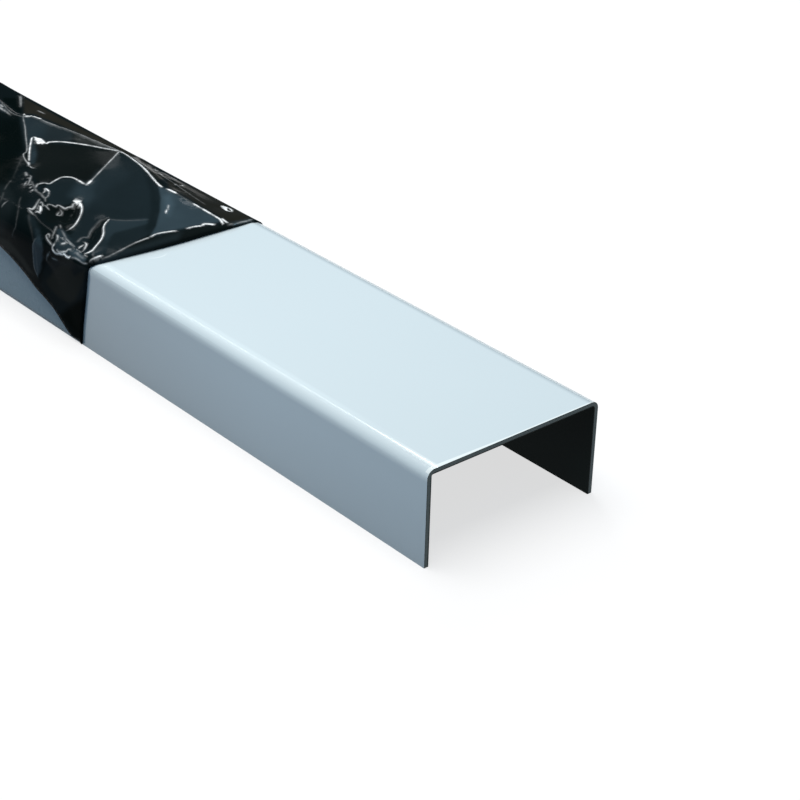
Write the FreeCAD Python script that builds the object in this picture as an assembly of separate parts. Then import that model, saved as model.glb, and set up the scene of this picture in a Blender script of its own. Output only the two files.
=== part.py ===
import FreeCAD, Part
import math
import os

from FreeCAD import Vector

# A folded sheet channel lying on its two leg edges, web up, with a protective film that is
# partly pulled off its front end and folded back. Sizes are in millimetres.
# X runs along the channel (front cut end at +X), Y across the web, Z up from the leg edges.
# The origin is on the floor, below the middle of the channel.

# Channel
length = 1000.0  # overall, along X
web_width = 63.0  # outside, across the two legs
leg_height = 30.0  # outside, from the leg edges to the top of the web
sheet = 1.5  # thickness of the metal
bend_inner_radius = 0.5  # inside of both folds
fold_spread = 0.5  # the outside of a pressed fold is this much rounder than the sheet alone makes it

# Protective film
film = 0.1  # thickness
film_trim = 0.4  # how far its edges stop above the leg edges
peeled_length = 158.0  # pulled off the channel, measured along the near fold
peel_skew_web = 4.5  # the peel line lies this much further forward at the far fold
peel_skew_leg = 7.0  # and this much further back at each leg edge
fold_radius = 1.0  # of the loop where the film turns back on itself
fold_steps = 4  # flats round that loop
bend_flats = 3  # flats of the film round each of the channel's folds

# Loose end of the film
edge_turn = 22.0  # degrees that the near leg's strip of film has turned upwards
near_hang_least = 7.0  # how far that strip still hangs below the near fold at the back
near_stand_off = 2.2  # between the hanging strips and the legs
far_hang = 19.0  # how far the strip on the far side hangs below the far fold
far_settle = 30.0  # length over which the far strip comes up to that from the peel line
crease_start = 0.06  # where the old near crease leaves the near fold, as a share of the web
crease_stop = 0.45  # the furthest that it wanders over the web
far_ridge = 0.82  # where the far crest runs, as a share of the web

# Heights of the loose film above the web, from the peel line to its torn-off end:
# distance behind the peel line as a share of the loose length, then the height at the old
# near crease, the dip beside it, the middle crest, the dip behind it and the far crest
loose_sections = [
    (0.03, 2.6, 2.8, 3.4, 3.2, 2.6),
    (0.10, 4.2, 3.0, 5.0, 3.6, 3.4),
    (0.18, 5.6, 3.2, 6.4, 4.0, 5.0),
    (0.27, 4.4, 3.6, 7.6, 4.6, 6.6),
    (0.36, 5.8, 3.0, 6.0, 5.2, 8.0),
    (0.48, 6.4, 4.4, 4.6, 4.4, 6.4),
    (0.62, 5.0, 3.2, 6.2, 3.8, 6.8),
    (0.78, 6.2, 4.0, 5.0, 4.6, 5.6),
    (0.90, 4.6, 3.4, 5.8, 3.6, 6.2),
    (0.99, 5.2, 3.8, 4.8, 4.2, 5.0),
]

bend_outer_radius = bend_inner_radius + sheet + fold_spread
half_length = length / 2
half_web = web_width / 2
flat_half_web = half_web - bend_outer_radius
leg_flat_top = leg_height - bend_outer_radius
flat_angle = 90.0 / bend_flats
bend_angles = [(k + 0.5) * flat_angle for k in range(bend_flats)]  # the film's corners round a fold
bend_reach = 1 / math.cos(math.radians(flat_angle / 2))  # keeps its flats clear of the round fold
side_points = bend_flats + 2  # of the film's outline on each leg and fold


def bend(side, centre_y, centre_z, radius):
    """Quarter arc of one fold, from the leg up to the web."""
    places = []
    for angle in (0, 45, 90):
        turn = math.radians(angle)
        out = centre_y + radius * math.cos(turn)
        places.append(Vector(0, side * out, centre_z + radius * math.sin(turn)))
    return Part.Arc(*places).toShape()


def skin(depth, radius):
    """One side of the folded sheet, from foot to foot, at a depth below its outside."""
    half = half_web - depth
    top = leg_height - depth
    edges = [Part.makeLine(Vector(0, radius - half, top), Vector(0, half - radius, top))]
    for side in (-1, 1):
        foot = Vector(0, side * half, 0)
        edges.append(Part.makeLine(foot, Vector(0, side * half, top - radius)))
        edges.append(bend(side, half - radius, top - radius, radius))
    return edges


def channelSection():
    """Closed outline of the folded sheet, in the plane X = 0."""
    edges = skin(0, bend_outer_radius) + skin(sheet, bend_inner_radius)
    for side in (-1, 1):
        foot_out = Vector(0, side * half_web, 0)
        foot_in = Vector(0, side * (half_web - sheet), 0)
        edges.append(Part.makeLine(foot_in, foot_out))
    return Part.Face(Part.Wire(Part.sortEdges(edges)[0]))


def makeChannel():
    face = channelSection()
    face.translate(Vector(-half_length, 0, 0))
    return face.extrude(Vector(length, 0, 0))


def acrossLine(near_edge, crease, far_edge):
    """Points of the film across the channel, each as a place on its outside and the way out.

    near_edge and far_edge are heights of the film's two edges, and crease is the share of
    the web where the old near crease lies.
    """
    line = []
    for height in (near_edge, (near_edge + leg_flat_top) / 2):
        line.append((Vector(0, -half_web, height), Vector(0, -1, 0)))
    for side in (-1, 1):
        if side == 1:
            middle = (crease + far_ridge) / 2
            shares = (crease, (crease + middle) / 2, middle, (middle + far_ridge) / 2, far_ridge)
            for share in shares:
                line.append((Vector(0, -half_web + share * web_width, leg_height), Vector(0, 0, 1)))
        angles = bend_angles if side == -1 else tuple(reversed(bend_angles))
        for angle in angles:
            turn = math.radians(angle)
            out = Vector(0, side * math.cos(turn), math.sin(turn)) * bend_reach
            centre = Vector(0, side * flat_half_web, leg_flat_top)
            line.append((centre + out * bend_outer_radius, out))
    for height in ((far_edge + leg_flat_top) / 2, far_edge):
        line.append((Vector(0, half_web, height), Vector(0, 1, 0)))
    return line


def peelX(place):
    """Where the peel line crosses a place on the channel's outside."""
    along_web = (place.y + half_web) / web_width
    down_leg = max(0, leg_flat_top - place.z) / leg_flat_top
    return half_length - peeled_length + peel_skew_web * along_web - peel_skew_leg * down_leg


def filmRing(line, xs, inner, outer):
    """One closed ring of the film's corners: the side towards the channel, then the other."""
    towards = [p + n * a + Vector(x, 0, 0) for (p, n), x, a in zip(line, xs, inner)]
    away = [p + n * b + Vector(x, 0, 0) for (p, n), x, b in zip(line, xs, outer)]
    return towards + list(reversed(away))


def stuckRings(line):
    flat = [0] * len(line)
    skin = [film] * len(line)
    rear = filmRing(line, [-half_length] * len(line), flat, skin)
    front = filmRing(line, [peelX(p) for p, n in line], flat, skin)
    return [rear, front]


def foldRings(line):
    """The loop where the film turns back on itself, all along the peel line."""
    rings = []
    for step in range(1, fold_steps + 1):
        turn = math.pi * step / fold_steps
        places = []
        for radius in (fold_radius, fold_radius - film):
            forward = radius * math.sin(turn)
            height = fold_radius - radius * math.cos(turn)
            places.append([p + n * height + Vector(peelX(p) + forward, 0, 0) for p, n in line])
        rings.append(places[0] + list(reversed(places[1])))
    return rings


def looseRings(fold_line):
    """Cross-sections of the crumpled end that lies back over the channel."""
    rings = []
    turn_slope = math.tan(math.radians(edge_turn))
    side_lifts = [near_stand_off] * side_points
    for share, *web_lifts in loose_sections:
        behind = share * peeled_length
        rise = min(behind * turn_slope, leg_flat_top - near_hang_least)
        settle = min(1, behind / far_settle)
        far_edge = film_trim + settle * (leg_height - far_hang - film_trim)
        crease = min(crease_start + behind * turn_slope / web_width, crease_stop)
        line = acrossLine(film_trim + rise, crease, far_edge)
        lifts = side_lifts + web_lifts + side_lifts
        raised = [lift + film for lift in lifts]
        xs = [peelX(p) - behind for p, n in fold_line]
        rings.append(filmRing(line, xs, raised, lifts))
    return rings


def facet(a, b, c):
    return Part.Face(Part.makePolygon([a, b, c, a]))


def makeFilm():
    line = acrossLine(film_trim, crease_start, film_trim)
    rings = stuckRings(line) + foldRings(line) + looseRings(line)
    faces = []
    count = len(rings[0])
    for here, there in zip(rings, rings[1:]):
        for k in range(count):
            n = (k + 1) % count
            if k < count // 2:
                faces.append(facet(here[k], here[n], there[n]))
                faces.append(facet(here[k], there[n], there[k]))
            else:  # the same diagonal seen from the film's other side
                faces.append(facet(here[k], here[n], there[k]))
                faces.append(facet(here[n], there[n], there[k]))
    for ring in (rings[0], rings[-1]):
        for k in range(count // 2 - 1):
            a, b = ring[k], ring[k + 1]
            c, d = ring[count - 2 - k], ring[count - 1 - k]
            faces.append(facet(a, b, c))
            faces.append(facet(a, c, d))
    shell = Part.Shell(faces)
    shell.sewShape()
    solid = Part.Solid(shell)
    if solid.Volume < 0:
        solid.reverse()
    return solid


os.makedirs("parts", exist_ok=True)
nodes = {
    "channel_section": makeChannel(),
    "protective_film": makeFilm(),
}
for name, shape in nodes.items():
    shape.exportStep(f"parts/{name}.step")
    box = shape.BoundBox
    print(name, "valid" if shape.isValid() else "INVALID", len(shape.Solids), "solid")
    print(f"  volume {shape.Volume / 1000:.1f} cm3, X {box.XMin:.1f}..{box.XMax:.1f},"
          f" Y {box.YMin:.2f}..{box.YMax:.2f}, Z {box.ZMin:.2f}..{box.ZMax:.2f}")
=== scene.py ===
import bpy
import bmesh
import math
import numpy as np
from mathutils import Matrix, Vector, geometry, kdtree


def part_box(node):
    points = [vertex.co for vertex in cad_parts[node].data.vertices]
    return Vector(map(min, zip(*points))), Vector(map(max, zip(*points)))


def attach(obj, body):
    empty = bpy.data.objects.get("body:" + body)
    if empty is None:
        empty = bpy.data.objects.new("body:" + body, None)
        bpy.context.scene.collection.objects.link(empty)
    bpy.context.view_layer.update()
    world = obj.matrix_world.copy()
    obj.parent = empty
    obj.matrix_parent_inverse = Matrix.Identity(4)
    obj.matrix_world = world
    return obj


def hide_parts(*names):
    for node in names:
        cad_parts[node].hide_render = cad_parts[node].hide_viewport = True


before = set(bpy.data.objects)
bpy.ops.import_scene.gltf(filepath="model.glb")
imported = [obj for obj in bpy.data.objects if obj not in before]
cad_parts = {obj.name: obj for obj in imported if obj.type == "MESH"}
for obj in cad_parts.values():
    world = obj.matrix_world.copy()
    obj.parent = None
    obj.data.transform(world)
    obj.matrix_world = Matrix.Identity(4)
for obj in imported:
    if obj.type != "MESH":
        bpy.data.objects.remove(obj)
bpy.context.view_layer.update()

mm = 0.001
tiny = 1e-9  # keeps a length from being 0, and ends the film's settling


# Camera

viewSettings = {
    "eye": (845.4, -346.4, 306.8),  # mm
    "heading": 138.588,  # degrees from +X towards +Y
    "down": 28.702,
    "roll": 1.681,
    "focalPixels": 2094.0,
    "imagePixels": 800,
    "sensor": 36.0,
    "clipStart": 0.01,
}


def viewAxes():
    heading, down, roll = (math.radians(viewSettings[k]) for k in ("heading", "down", "roll"))
    ahead = Vector((math.cos(heading) * math.cos(down), math.sin(heading) * math.cos(down), -math.sin(down)))
    level = Vector((math.sin(heading), -math.cos(heading), 0))
    upright = level.cross(ahead)
    right = level * math.cos(roll) + upright * math.sin(roll)
    up = upright * math.cos(roll) - level * math.sin(roll)
    return right, up, ahead


def makeCamera():
    right, up, ahead = viewAxes()
    camera = bpy.data.objects.new("camera", bpy.data.cameras.new("camera"))
    bpy.context.scene.collection.objects.link(camera)
    turned = Matrix((right, up, -ahead)).transposed().to_4x4()
    camera.matrix_world = Matrix.Translation(Vector(viewSettings["eye"]) * mm) @ turned
    camera.data.sensor_width = viewSettings["sensor"]
    camera.data.lens = viewSettings["focalPixels"] / viewSettings["imagePixels"] * viewSettings["sensor"]
    camera.data.clip_start = viewSettings["clipStart"]
    bpy.context.scene.camera = camera
    print("camera placed")


# Node helpers

def newMaterial(name):
    material = bpy.data.materials.new(name)
    material.use_nodes = True
    tree = material.node_tree
    tree.nodes.clear()
    return material, tree


def addNode(tree, kind, settings=None, inputs=None):
    node = tree.nodes.new(kind)
    for key, value in (settings or {}).items():
        setattr(node, key, value)
    for key, value in (inputs or {}).items():
        if isinstance(value, bpy.types.NodeSocket):
            tree.links.new(value, node.inputs[key])
        else:
            node.inputs[key].default_value = value
    return node


def calc(tree, operation, a, b=0.0, clamp=False):
    node = addNode(tree, "ShaderNodeMath", {"operation": operation, "use_clamp": clamp}, {0: a, 1: b})
    return node.outputs[0]


def times(tree, first, *others):
    for other in others:
        first = calc(tree, "MULTIPLY", first, other)
    return first


def minus(tree, a, b):
    return calc(tree, "SUBTRACT", a, b)


def larger(tree, a, b):
    return calc(tree, "MAXIMUM", a, b)


def absolute(tree, value):
    return calc(tree, "ABSOLUTE", value)


def past(tree, value, start):
    # how far the value lies past the start, or 0
    return larger(tree, minus(tree, value, start), 0.0)


def vectorCalc(tree, operation, inputs, output=0):
    return addNode(tree, "ShaderNodeVectorMath", {"operation": operation}, inputs).outputs[output]


def separated(tree, vector):
    return addNode(tree, "ShaderNodeSeparateXYZ", None, {0: vector}).outputs


def mixColour(tree, factor, a, b, blend="MIX"):
    node = addNode(tree, "ShaderNodeMix", {"data_type": "RGBA", "blend_type": blend}, {0: factor, 6: a, 7: b})
    return node.outputs[2]


def shadesOf(tree, factor, colour, shades):
    # the colour times its darkest and palest shade, mixed by the factor
    darkest, palest = ((*(c * part for c, part in zip(colour, shade)), 1) for shade in shades)
    return mixColour(tree, factor, darkest, palest)


def remap(tree, value, fromLow, fromHigh, toLow, toHigh):
    inputs = {"Value": value, "From Min": fromLow, "From Max": fromHigh, "To Min": toLow, "To Max": toHigh}
    return addNode(tree, "ShaderNodeMapRange", None, inputs).outputs[0]


def noise(tree, vector, scale, detail):
    inputs = {"Vector": vector, "Scale": scale, "Detail": detail}
    return addNode(tree, "ShaderNodeTexNoise", None, inputs).outputs[0]


def bumped(tree, strength, depth, height, normal=None):
    inputs = {"Strength": strength, "Distance": depth * mm, "Height": height}
    if normal is not None:
        inputs["Normal"] = normal
    return addNode(tree, "ShaderNodeBump", None, inputs).outputs[0]


def objectPlace(tree):
    return tree.nodes.new("ShaderNodeTexCoord").outputs["Object"]


def toOutput(tree, shader):
    output = tree.nodes.new("ShaderNodeOutputMaterial")
    tree.links.new(shader.outputs[0], output.inputs["Surface"])


def principled(tree, inputs):
    toOutput(tree, addNode(tree, "ShaderNodeBsdfPrincipled", None, inputs))


# Studio

studio = {
    "worldStrength": 0.25,
    "worldColour": (0.46, 0.73, 1.0),
    "floorColour": (0.30, 0.30, 0.305),
    "floorGlow": 0.69,
    "floorBounce": (0.13, 0.20, 0.27),
    "floorSize": 150.0,
    "middle": (0.35, 0.0, 0.02),
    "lamps": {
        # name: direction from the object, distance, direction of the long side, both sides, watts, colour
        "overhead": ((-0.10, -0.13, 1.0), 2.0, (1, 0, 0), (2.2, 1.4), 48.0, (1.0, 0.965, 0.91)),
        "strip": ((-0.705, 0.34, 0.62), 2.2, (-0.135, -0.064, -0.118), (0.9, 0.26), 8.0, (0.95, 0.98, 1.0)),
    },
}


def seenByEye(tree):
    # 1 for rays that come straight, by a mirror or through glass from the camera
    ray = tree.nodes.new("ShaderNodeLightPath").outputs
    seen = larger(tree, ray["Is Camera Ray"], ray["Is Glossy Ray"])
    return larger(tree, seen, ray["Is Transmission Ray"])


def makeWorld():
    world = bpy.data.worlds.new("studioWorld")
    bpy.context.scene.world = world
    world.use_nodes = True
    background = world.node_tree.nodes["Background"]
    background.inputs["Color"].default_value = (*studio["worldColour"], 1)
    background.inputs["Strength"].default_value = studio["worldStrength"]


def makeFloor():
    half = studio["floorSize"] / 2
    mesh = bpy.data.meshes.new("floor")
    corners = [(-half, -half, 0), (half, -half, 0), (half, half, 0), (-half, half, 0)]
    mesh.from_pydata(corners, [], [(0, 1, 2, 3)])
    floor = bpy.data.objects.new("floor", mesh)
    bpy.context.scene.collection.objects.link(floor)
    material, tree = newMaterial("paleFloor")
    bounce = addNode(tree, "ShaderNodeBsdfDiffuse", None, {"Color": (*studio["floorBounce"], 1)}).outputs[0]
    pale = addNode(tree, "ShaderNodeBsdfDiffuse", None, {"Color": (*studio["floorColour"], 1)}).outputs[0]
    glow = {"Color": (1, 1, 1, 1), "Strength": studio["floorGlow"]}
    glow = addNode(tree, "ShaderNodeEmission", None, glow).outputs[0]
    bright = addNode(tree, "ShaderNodeAddShader", None, {0: pale, 1: glow}).outputs[0]
    toOutput(tree, addNode(tree, "ShaderNodeMixShader", None, {0: seenByEye(tree), 1: bounce, 2: bright}))
    mesh.materials.append(material)


def makeLamps():
    for name, (direction, distance, along, sides, watts, colour) in studio["lamps"].items():
        lamp = bpy.data.lights.new(name, "AREA")
        lamp.shape = "RECTANGLE"
        lamp.size, lamp.size_y = sides
        lamp.energy = watts
        lamp.color = colour
        holder = bpy.data.objects.new(name, lamp)
        bpy.context.scene.collection.objects.link(holder)
        away = Vector(direction).normalized()
        across = away.cross(Vector(along)).normalized()
        turned = Matrix((across.cross(away), across, away)).transposed().to_4x4()
        holder.matrix_world = Matrix.Translation(Vector(studio["middle"]) + away * distance) @ turned
    print("studio lit")


# Places on the channel, in mm: x along it, across from the near leg's edge over the web to the far
# leg's edge, and the lift off the metal

channelLow, channelHigh = (np.array(c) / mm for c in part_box("channel_section"))
halfWeb = channelHigh[1]
legHeight = channelHigh[2]
rearEnd, frontEnd = channelLow[0], channelHigh[0]
sheet = 1.5
bendRadius = 2.5  # outside of the folds
bendLift = 3.0  # widths round a fold are measured this far off the metal
flatHalf = halfWeb - bendRadius
legFlat = legHeight - bendRadius
foldArc = (bendRadius + bendLift) * math.pi / 2
acrossAll = 2 * (legFlat + foldArc) + 2 * flatHalf


def offChannel(x, across, lift):
    x, across, lift = (np.asarray(v, float) for v in (x, across, lift))
    side = np.where(across < acrossAll / 2, -1.0, 1.0)
    up = np.minimum(across, acrossAll - across)  # from the nearer leg edge
    turn = np.clip((up - legFlat) / foldArc, 0, 1) * math.pi / 2
    inward = np.maximum(up - legFlat - foldArc, 0)
    reach = bendRadius + lift
    y = side * (flatHalf - inward + reach * np.cos(turn))
    z = np.minimum(up, legFlat) + reach * np.sin(turn)
    return np.stack([x + 0 * y, y, z], axis=-1)


def pinned(px, py, lift):
    # the place (x, across) whose point at that lift shows at a pixel
    right, up, ahead = (np.array(a) for a in viewAxes())
    half, focal = viewSettings["imagePixels"] / 2, viewSettings["focalPixels"]
    ray = ahead + right * (px - half) / focal - up * (py - half) / focal
    eye = np.array(viewSettings["eye"])
    onWeb = eye + ray * (legHeight + lift - eye[2]) / ray[2]
    if -flatHalf <= onWeb[1] <= flatHalf:
        return onWeb[0], legFlat + foldArc + onWeb[1] + flatHalf
    onLeg = eye + ray * (-halfWeb - lift - eye[1]) / ray[1]
    if onWeb[1] < 0 and onLeg[2] <= legFlat:
        return onLeg[0], onLeg[2]
    side = -1 if onWeb[1] < 0 else 1
    centre = np.array([side * flatHalf, legFlat])
    a = ray[1] ** 2 + ray[2] ** 2
    b = (eye[1] - centre[0]) * ray[1] + (eye[2] - centre[1]) * ray[2]
    c = (eye[1] - centre[0]) ** 2 + (eye[2] - centre[1]) ** 2 - (bendRadius + lift) ** 2
    hit = eye + ray * (-b - math.sqrt(max(b * b - a * c, 0))) / a
    turn = math.atan2(hit[2] - centre[1], side * (hit[1] - centre[0]))
    up = legFlat + foldArc * min(max(turn / (math.pi / 2), 0), 1)
    return hit[0], up if side < 0 else acrossAll - up


def fromPicture(points):
    return [(*pinned(px, py, lift), lift) for px, py, lift in points]


def pictureOf(places):
    right, up, ahead = (np.array(a) for a in viewAxes())
    away = np.asarray(places) - np.array(viewSettings["eye"])
    half, focal = viewSettings["imagePixels"] / 2, viewSettings["focalPixels"]
    depth = away @ ahead
    return np.stack([half + focal * (away @ right) / depth, half - focal * (away @ up) / depth], axis=-1)


# Channel. Here and for the film, colours are linear, a noise is (scale, detail), shades are the
# darkest and the palest times the colour, and a ramp is (start, stop, value at each of them)

channelSettings = {
    "coat": (0.665, 0.765, 0.81),
    "coatShades": ((0.985, 0.985, 0.985), (1.015, 1.012, 1.01)),
    "coatNoise": (9.0, 2.0),
    "inside": (0.0022, 0.0090, 0.0086),
    "insideShades": ((0.2, 0.2, 0.2), (1.9, 1.8, 1.8)),
    "insideNoise": (26.0, 4.0),
    "cutMetal": (0.25, 0.24, 0.205),
    "cutShades": ((0.75, 0.75, 0.75), (1.25, 1.25, 1.25)),
    "cutNoise": (2200.0, 3.0),
    "cutStretch": (1.0, 0.15, 1.0),  # of that noise
    "cutRim": (0.010, 0.012, 0.011),  # along both sides of the cut faces: painted burr shade at the outside, darker along the inside
    "innerRim": (0.18, 0.42, 1.0, 0.0),  # by the distance from the inside
    "outerRim": (0.1, 0.3, 0.5, 0.0),  # and from the outside
    "squareFrom": 0.9,  # cut faces point this squarely out of the ends or down
    "footHeight": 1.0,  # the latter only up to here
    "webHeight": 29.0,  # from here up, the coat counts as the web's
    "footShade": (0.0, 22.0, 0.86, 1.0),  # painted shade of the coat near the floor, by the height
    "endShade": (0.0, 90.0, 0.95, 1.0),  # painted shade towards the ends, by the distance from an end
    "filmShade": (345.0, 430.0, 0.80, 1.0),  # painted shadow of the loose film on the legs, by x: darker beside the peel line
    "farFold": (30.2, 30.5, 1.0, 0.3),  # of the web's coat, by y: a thin painted dark reflection at the far fold
    # painted highlights on the web: their colour, and where they lie
    "highlightColour": (0.88, 0.96, 0.97),
    "endWidths": (1.4, 0.5),  # of the painted highlight on the web at its cut ends: at the near fold, and past the middle
    "palePlace": -28.0,  # y of a painted highlight line beside the near fold
    "paleLine": (0.48, 1.2, 1.0, 0.0),  # by the distance from it
    "paleLength": (0.0, 26.0, 1.0, 0.0),  # by the distance from an end
    "glossBand": (1.2, 2.4, 1.0, 0.0),  # the coat's gloss fades along that line
    "glossLoss": (8.0, 45.0, 0.0, 0.82),
    "gleam": [(147, 258), (160, 257), (167.5, 252.5)],  # thin painted reflection, a pale arc on the web, by picture place
    "gleamLine": (0.1, 0.4, 1.0, 0.0),  # by the distance from it
    "gleamStrength": 0.55,
    "gleamFade": 0.4,  # share of its reach where it starts to fade out
    "foldReach": (4.2, 3.6),  # of the folds' shading over the web, and down the legs
    "peelNoise": (420.0, 2.0),
    "bump": (0.08, 0.1),  # strength, and depth in mm
    "roughness": 0.5,
    "cutRoughness": 0.05,  # more on the cut faces
    "ior": 1.15,
    "coatRoughness": 0.12,
    "coatIor": 1.5,
}


def gleamOnWeb(tree, place):
    # a painted reflection: a pale arc on the web through three picture places
    settings = channelSettings
    spots = (pinned(px, py, 0) for px, py in settings["gleam"])
    a, b, c = (Vector((x, across - acrossAll / 2, legHeight)) for x, across in spots)
    ab, ac = b - a, c - a
    turn = ab.cross(ac)
    toCentre = turn.cross(ab) * ac.length_squared + ac.cross(turn) * ab.length_squared
    centre = a + toCentre / (2 * turn.length_squared)
    fromCentre = vectorCalc(tree, "DISTANCE", {0: place, 1: centre}, "Value")
    fromMiddle = vectorCalc(tree, "DISTANCE", {0: place, 1: b}, "Value")
    line = remap(tree, absolute(tree, minus(tree, fromCentre, (a - centre).length)), *settings["gleamLine"])
    reach = (ab.length + (c - b).length) / 2
    fade = remap(tree, fromMiddle, reach * settings["gleamFade"], reach, settings["gleamStrength"], 0.0)
    return times(tree, line, fade)


def channelPlaces(tree):
    # what the looks go by, in mm; "under" is how deep a point lies below the sheet's outside
    place = objectPlace(tree)
    inMm = vectorCalc(tree, "SCALE", {0: place, "Scale": 1 / mm})
    x, y, z = separated(tree, inMm)
    aside = absolute(tree, y)
    outwards, upwards = past(tree, aside, flatHalf), past(tree, z, legFlat)
    squares = calc(tree, "ADD", times(tree, outwards, outwards), times(tree, upwards, upwards))
    return {
        "place": place, "inMm": inMm, "x": x, "y": y, "z": z, "aside": aside,
        "under": minus(tree, bendRadius, calc(tree, "SQRT", squares)),
        "fromEnd": minus(tree, frontEnd, absolute(tree, x)),
        "fromLine": absolute(tree, minus(tree, y, channelSettings["palePlace"])),
        "onWeb": calc(tree, "GREATER_THAN", z, channelSettings["webHeight"]),
    }


def cutFaces(tree, z):
    settings = channelSettings
    facing = separated(tree, tree.nodes.new("ShaderNodeNewGeometry").outputs["True Normal"])
    endFace = calc(tree, "GREATER_THAN", absolute(tree, facing[0]), settings["squareFrom"])
    footFace = calc(tree, "LESS_THAN", facing[2], -settings["squareFrom"])
    footFace = times(tree, footFace, calc(tree, "LESS_THAN", z, settings["footHeight"]))
    return larger(tree, endFace, footFace)


def coatHighlights(tree, at):
    # painted highlights: 1 on the web's cut ends, on the pale line beside the near fold and on the gleam
    settings = channelSettings
    width = remap(tree, at["y"], -flatHalf, 0.0, *settings["endWidths"])
    line = remap(tree, at["fromLine"], *settings["paleLine"])
    line = times(tree, line, remap(tree, at["fromEnd"], *settings["paleLength"]))
    ends = larger(tree, calc(tree, "LESS_THAN", at["fromEnd"], width), line)
    return larger(tree, times(tree, ends, at["onWeb"]), gleamOnWeb(tree, at["inMm"]))


def coatShade(tree, at):
    # painted shade and shadow over the coat, as a factor
    settings = channelSettings
    foot = remap(tree, at["z"], *settings["footShade"])
    end = remap(tree, at["fromEnd"], *settings["endShade"])
    film = larger(tree, remap(tree, at["x"], *settings["filmShade"]), at["onWeb"])
    fold = larger(tree, remap(tree, at["y"], *settings["farFold"]), minus(tree, 1.0, at["onWeb"]))
    return times(tree, foot, end, film, fold)


def channelColour(tree, at, outside, cut, grain):
    settings = channelSettings
    clouds = noise(tree, at["place"], *settings["coatNoise"])
    coat = shadesOf(tree, clouds, settings["coat"], settings["coatShades"])
    # painted highlights on the web, then painted shade over the coat
    coat = mixColour(tree, coatHighlights(tree, at), coat, (*settings["highlightColour"], 1))
    coat = mixColour(tree, 1.0, coat, coatShade(tree, at), "MULTIPLY")
    dust = noise(tree, at["place"], *settings["insideNoise"])
    inside = shadesOf(tree, dust, settings["inside"], settings["insideShades"])
    metal = shadesOf(tree, grain, settings["cutMetal"], settings["cutShades"])
    # dark rims of the cut faces: painted burr shade along the outside, and darker along the inside
    innerRim = remap(tree, minus(tree, sheet, at["under"]), *settings["innerRim"])
    rim = larger(tree, innerRim, remap(tree, at["under"], *settings["outerRim"]))
    metal = mixColour(tree, rim, metal, (*settings["cutRim"], 1))
    return mixColour(tree, cut, mixColour(tree, outside, inside, coat), metal)


def rounderNormal(tree, at, coated):
    # lights the coat as if its folds were wider than the solid's
    overWeb, downLegs = channelSettings["foldReach"]
    out = calc(tree, "DIVIDE", past(tree, at["aside"], halfWeb - overWeb), overWeb)
    out = times(tree, out, calc(tree, "SIGN", at["y"]))
    up = calc(tree, "DIVIDE", past(tree, at["z"], legHeight - downLegs), downLegs)
    rounder = addNode(tree, "ShaderNodeCombineXYZ", None, {1: out, 2: up}).outputs[0]
    rounder = vectorCalc(tree, "NORMALIZE", {0: rounder})
    straight = tree.nodes.new("ShaderNodeNewGeometry").outputs["Normal"]
    mix = addNode(tree, "ShaderNodeMix", {"data_type": "VECTOR"}, {0: coated, 4: straight, 5: rounder})
    return mix.outputs[1]


def makeChannelMaterial():
    settings = channelSettings
    material, tree = newMaterial("channelFinish")
    at = channelPlaces(tree)
    outside = calc(tree, "LESS_THAN", at["under"], sheet / 2)
    cut = cutFaces(tree, at["z"])
    stretched = {"Vector": at["place"], "Scale": settings["cutStretch"]}
    stretched = addNode(tree, "ShaderNodeMapping", None, stretched).outputs[0]
    grain = noise(tree, stretched, *settings["cutNoise"])
    height = mixColour(tree, cut, noise(tree, at["place"], *settings["peelNoise"]), grain)
    coated = times(tree, outside, minus(tree, 1.0, cut))
    band = remap(tree, at["fromLine"], *settings["glossBand"])
    dulled = times(tree, band, remap(tree, at["fromEnd"], *settings["glossLoss"]), at["onWeb"])
    normal = bumped(tree, *settings["bump"], height, rounderNormal(tree, at, coated))
    rough = calc(tree, "ADD", times(tree, cut, settings["cutRoughness"]), settings["roughness"])
    principled(tree, {
        "Base Color": channelColour(tree, at, outside, cut, grain),
        "Roughness": rough,
        "IOR": settings["ior"],
        "Normal": normal,
        "Coat Weight": times(tree, coated, minus(tree, 1.0, dulled)),
        "Coat Roughness": settings["coatRoughness"],
        "Coat IOR": settings["coatIor"],
        "Coat Normal": normal,
    })
    print("channel finished")
    return material


# Film

filmSettings = {
    "thickness": 0.1,  # mm, as all sizes here
    "trim": 0.4,  # its edges stop this far above the leg edges
    "stuckLift": 0.05,  # middle of the film where it sticks
    "stuckStep": 12.0,
    "acrossStep": 0.9,
    "noseStep": 0.3,  # of the fold line
    "loopTurn": 40.0,  # degrees past level where the loop gives way to the loose part
    "loopSteps": 8,
    "outlineStep": 0.8,
    "creaseStep": 0.5,
    "dipStep": 1.0,
    "creaseFade": 2.0,  # steps over which a crease's painted highlight fades in at its ends
    "shineReach": 2.0,  # a crease's painted highlight brightens nothing further off
    "rails": (0.28, 0.7),  # extra points this far beside each crease
    "railClear": 0.75,  # no nearer to another point, as a share of that
    "spacing": 1.0,  # of the loose part's mesh
    "fineSpacing": 0.6,  # in its crumpled places
    "fineFrom": 0.15,  # how crumpled a place is for that
    "pointClear": 0.6,  # share of the spacing kept free round known points
    "joinGap": 0.0001,
    "firstLift": 3.0,  # of the loose part before it settles
    "leastGap": 0.05,  # between corners, for how stiff the skin is there
    "settleTurns": 1500,
    "evenPasses": 2,
    "leastLift": 0.3,
    "weldGap": 0.002,
    "wrinkles": {"Height": 0.55, "Scale": 380.0, "Fine Height": 0.2, "Fine Scale": 1100.0, "Seed": 4.0},
    "wrinkleDetail": 2.0,
    "wrinkleGain": 4.0,
}

# Radius of the loop where the film turns back: (across, mm)
loopRadius = [
    (0, 0.4), (24, 0.45), (34, 0.5), (50, 0.95), (75, 1), (86, 0.6), (93, 0.2), (104, 0.18), (130, 0.35),
]

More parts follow.
